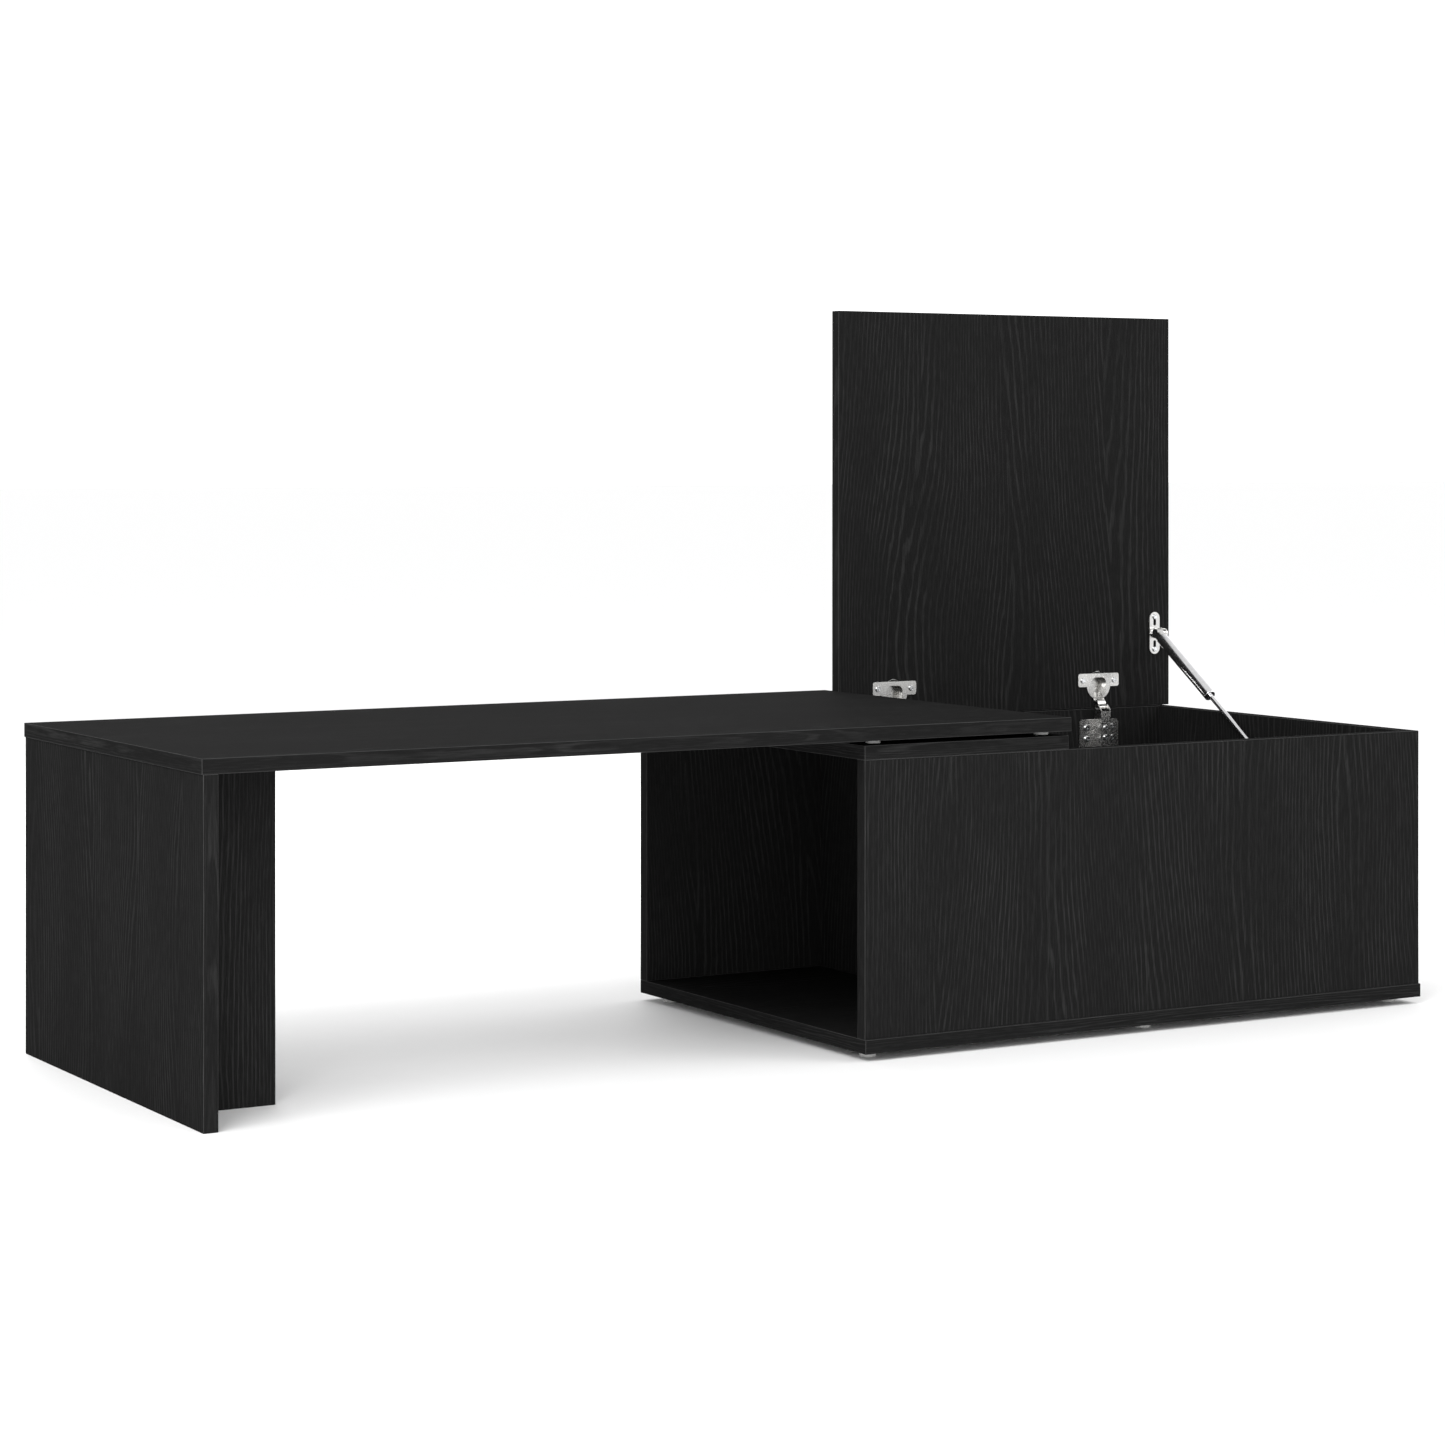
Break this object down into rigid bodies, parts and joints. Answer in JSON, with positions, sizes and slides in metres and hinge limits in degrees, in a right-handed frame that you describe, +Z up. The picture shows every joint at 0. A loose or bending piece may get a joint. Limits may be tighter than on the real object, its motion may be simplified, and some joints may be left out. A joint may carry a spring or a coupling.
{
  "type": "lift top coffee table",
  "caption": "Low black wood-grain table in two joined units: a long top on an end leg that swivels over a storage box, and a box lid that hinges up on a gas strut.",
  "frame": {"origin": "on the floor, at the middle of the whole extended table's length and depth", "axes": "+X along the table towards the storage box, +Y to the back where the lid is hinged, +Z up"},
  "size_m": [1.5, 0.5, 0.8062],
  "materials": {
    "black_board": "black ash-grain decor foil, matt",
    "beech_dowel": "fluted beech",
    "grey_plastic": "moulded",
    "black_plastic": "moulded",
    "zinc_screw": "zinc plated",
    "strut_chrome": "polished",
    "nickel_fitting": "nickel plated"
  },
  "bodies": {
    "storage_box": {"bottom_panel": "black_board", "front_panel": "black_board", "back_panel": "black_board", "right_end_panel": "black_board", "divider_panel": "black_board", "fixed_top_panel": "black_board", "panel_dowels": "beech_dowel", "box_glides": "grey_plastic", "spacer_glides": "grey_plastic", "pivot_bushing": "black_plastic", "pivot_slide_disc": "black_plastic", "hinge_arm_left": "nickel_fitting", "hinge_arm_right": "nickel_fitting", "hinge_plate_left": "nickel_fitting", "hinge_plate_right": "nickel_fitting", "plate_screws": "zinc_screw", "arm_screws": "zinc_screw", "strut_wall_bracket": "nickel_fitting", "strut_wall_screws": "zinc_screw"},
    "swivel_top": {"swivel_top_panel": "black_board", "leg_panel": "black_board", "front_brace": "black_board", "back_brace": "black_board", "leg_dowels": "beech_dowel", "pivot_bolt": "zinc_screw", "pivot_washer": "zinc_screw", "pivot_insert": "zinc_screw"},
    "hinge_links": {"hinge_link_left": "nickel_fitting", "hinge_link_right": "nickel_fitting"},
    "lid": {"lid_panel": "black_board", "hinge_cup_left": "nickel_fitting", "hinge_cup_right": "nickel_fitting", "cup_screws": "zinc_screw", "strut_lid_bracket": "nickel_fitting", "strut_lid_screws": "zinc_screw"},
    "strut_body": {"strut_tube": "strut_chrome", "strut_gland": "black_plastic", "strut_upper_socket": "nickel_fitting"},
    "strut_plunger": {"strut_rod": "strut_chrome", "strut_piston": "zinc_screw", "strut_lower_socket": "nickel_fitting", "strut_lower_stud": "nickel_fitting"}
  },
  "joints": [
    {"name": "top_swivel", "type": "hinge", "parent": "storage_box", "child": "swivel_top", "pos_m": [0.119, 0, 0.335], "axis": [0, 0, 1], "range_deg": [0, 90]},
    {"name": "link_swing", "type": "hinge", "parent": "storage_box", "child": "hinge_links", "pos_m": [0, 0.21464, 0.31722], "axis": [1, 0, 0], "range_deg": [-51.29, 0]},
    {"name": "lid_swing", "type": "hinge", "parent": "hinge_links", "child": "lid", "pos_m": [0, 0.2214, 0.3261], "axis": [1, 0, 0], "range_deg": [0, 143.24]},
    {"name": "strut_swing", "type": "hinge", "parent": "lid", "child": "strut_body", "pos_m": [0.7205, 0.207, 0.4077], "axis": [1, 0, 0], "range_deg": [-110.42, 0]},
    {"name": "strut_slide", "type": "slide", "parent": "strut_body", "child": "strut_plunger", "axis": [0, 0.8231, 0.5678], "range_m": [0, 0.10538]}
  ],
  "couplings": [
    {"joint": "lid_swing", "follows": "link_swing", "ratio": -2.7547},
    {"joint": "strut_swing", "follows": "link_swing", "ratio": 2.1022},
    {"joint": "strut_slide", "follows": "link_swing", "m_per_rad": -0.11527}
  ]
}
